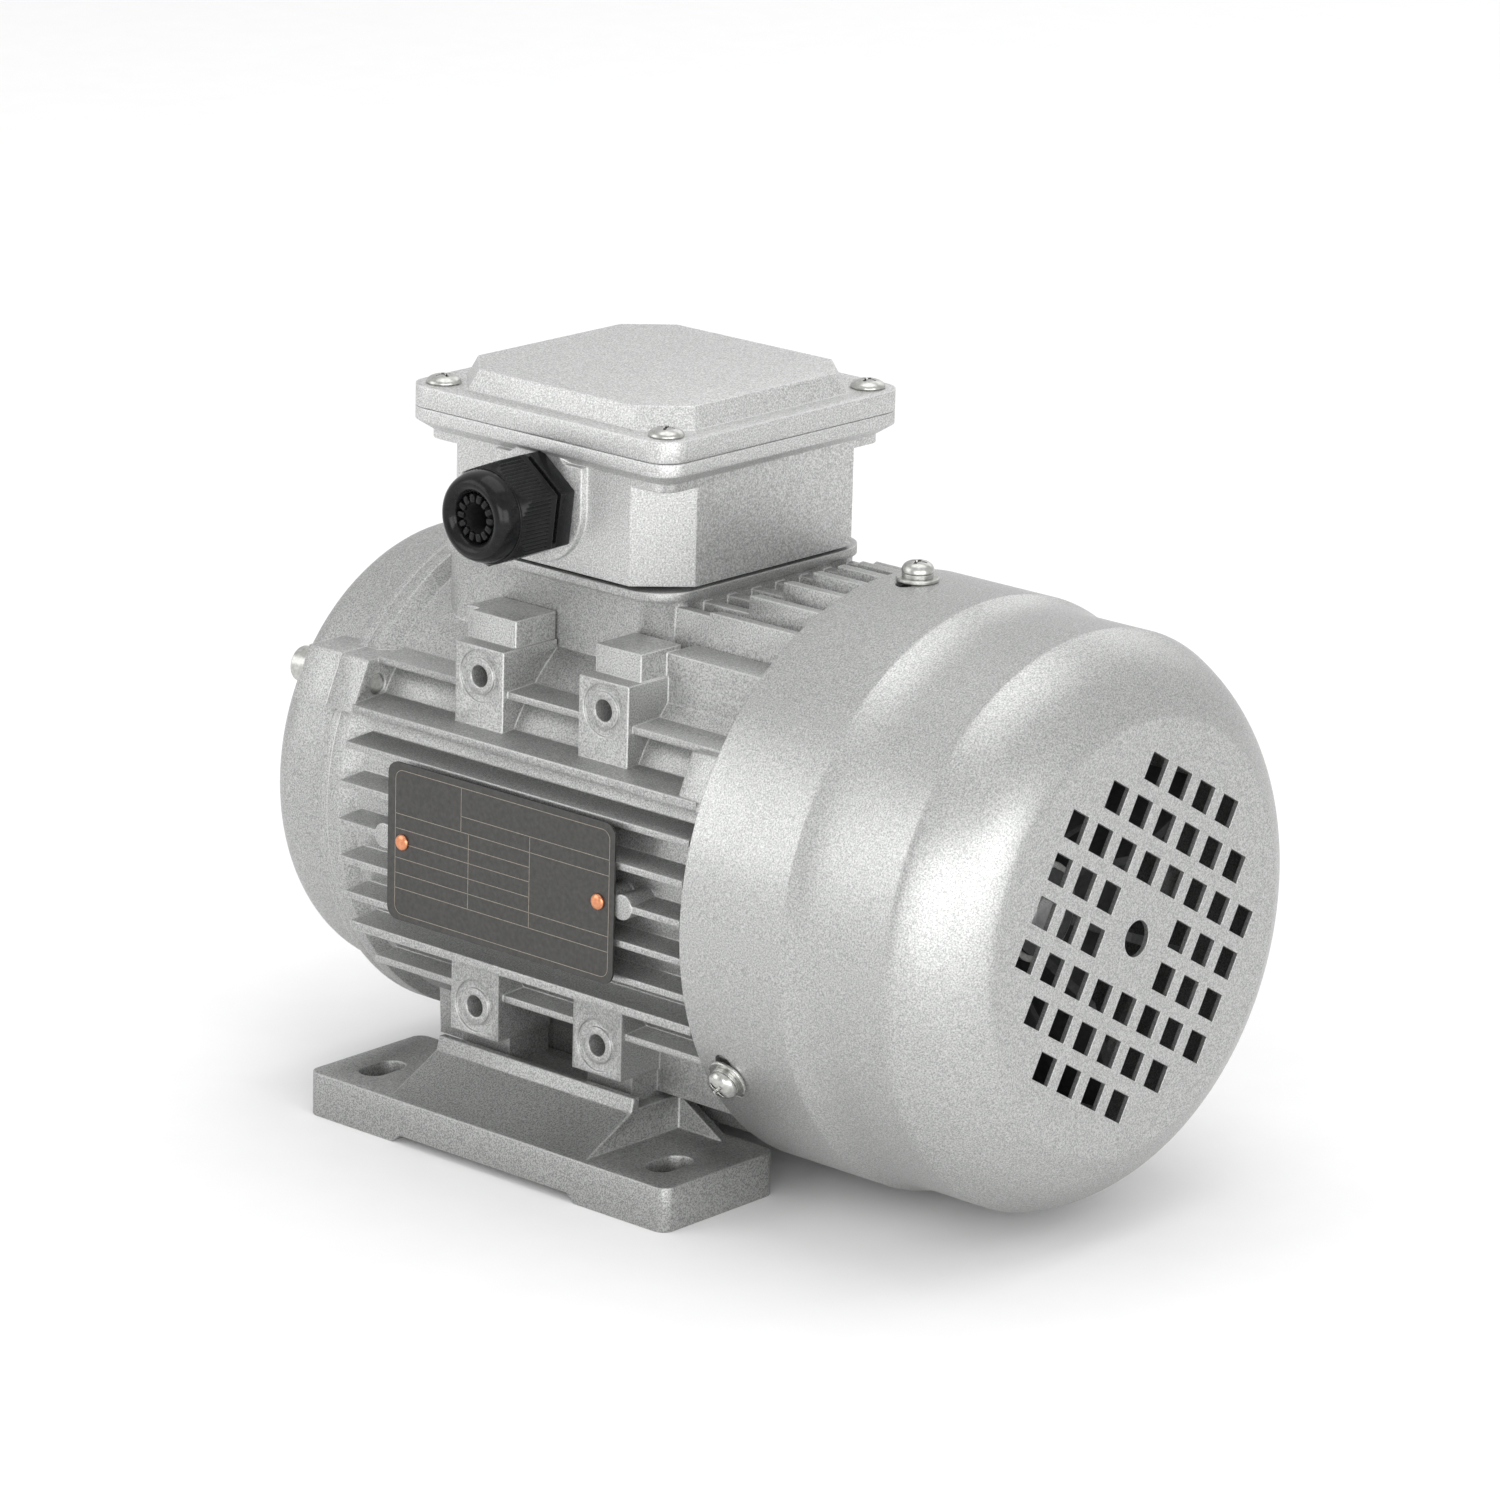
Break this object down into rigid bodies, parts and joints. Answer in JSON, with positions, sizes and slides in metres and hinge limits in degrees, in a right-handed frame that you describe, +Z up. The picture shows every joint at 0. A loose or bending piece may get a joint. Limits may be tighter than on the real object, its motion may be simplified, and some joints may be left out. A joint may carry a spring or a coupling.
{
  "type": "single-phase induction motor",
  "caption": "Foot-mounted, fan-cooled induction motor with a finned cast frame, keyed shaft, rear fan cover with a square-hole grille, and a top terminal box with a side cable gland.",
  "frame": {"origin": "centre of the foot bolt pattern, on the mounting plane", "axes": "the shaft lies along Y with its keyed end towards -Y and the fan towards +Y; +Z up through the terminal box; +X towards the nameplate and the cable gland"},
  "size_m": [0.1388, 0.2508, 0.1747],
  "materials": {
    "sprayed_alloy": "silver-grey sprayed cast aluminium, fine metallic speckle",
    "zinc_steel": "zinc plated",
    "shaft_steel": "ground",
    "bearing_steel": "polished",
    "core_steel": "stacked sheets, dull",
    "cage_aluminium": "as cast",
    "sprayed_sheet": "silver-grey sprayed pressed sheet, fine metallic speckle",
    "winding_varnish": "enamelled wire under varnish",
    "black_nylon": "moulded, satin",
    "black_rubber": "dull",
    "board_plastic": "moulded phenolic",
    "capacitor_case": "smooth",
    "terminal_brass": "bright",
    "plate_anodised": "dark anodised",
    "rivet_copper": "copper coloured"
  },
  "bodies": {
    "stator": {"board_screws": "zinc_steel", "box_gasket": "black_rubber", "box_lid": "sprayed_alloy", "box_screws": "zinc_steel", "capacitor": "capacitor_case", "capacitor_clip": "black_nylon", "clip_screw": "zinc_steel", "cover_screws": "zinc_steel", "cover_spring_washers": "zinc_steel", "cover_washers": "zinc_steel", "drive_bearing_outer_ring": "bearing_steel", "drive_screws": "zinc_steel", "drive_shield": "sprayed_alloy", "earth_screw": "zinc_steel", "fan_bearing_outer_ring": "bearing_steel", "fan_cover": "sprayed_sheet", "fan_screws": "zinc_steel", "fan_shield": "sprayed_alloy", "foot_left": "sprayed_alloy", "foot_right": "sprayed_alloy", "foot_screws": "zinc_steel", "gland_body": "black_nylon", "gland_insert": "black_rubber", "gland_locknut": "black_nylon", "gland_nut": "black_nylon", "housing": "sprayed_alloy", "lid_gasket": "black_rubber", "lid_screws": "zinc_steel", "nameplate": "plate_anodised", "nameplate_rivets": "rivet_copper", "shaft_seal": "black_rubber", "stator_core": "core_steel", "stator_winding": "winding_varnish", "terminal_board": "board_plastic", "terminal_box": "sprayed_alloy", "terminal_links": "terminal_brass", "terminal_nuts": "terminal_brass", "terminal_studs": "terminal_brass", "wave_spring": "bearing_steel"},
    "rotor": {"shaft": "shaft_steel", "shaft_key": "shaft_steel", "rotor_core": "core_steel", "rotor_cage": "cage_aluminium", "drive_bearing_inner_ring": "bearing_steel", "fan_bearing_inner_ring": "bearing_steel", "fan": "black_nylon", "fan_clamp": "zinc_steel", "fan_clamp_screw": "zinc_steel"},
    "drive_balls": {"drive_bearing_balls": "bearing_steel"},
    "fan_balls": {"fan_bearing_balls": "bearing_steel"}
  },
  "joints": [
    {"name": "shaft_spin", "type": "hinge", "parent": "stator", "child": "rotor", "pos_m": [0, 0, 0.071], "axis": [0, 1, 0], "continuous": true},
    {"name": "drive_balls_spin", "type": "hinge", "parent": "stator", "child": "drive_balls", "pos_m": [0, 0, 0.071], "axis": [0, 1, 0], "continuous": true},
    {"name": "fan_balls_spin", "type": "hinge", "parent": "stator", "child": "fan_balls", "pos_m": [0, 0, 0.071], "axis": [0, 1, 0], "continuous": true}
  ],
  "couplings": [
    {"joint": "drive_balls_spin", "follows": "shaft_spin", "ratio": 0.382},
    {"joint": "fan_balls_spin", "follows": "shaft_spin", "ratio": 0.382}
  ]
}
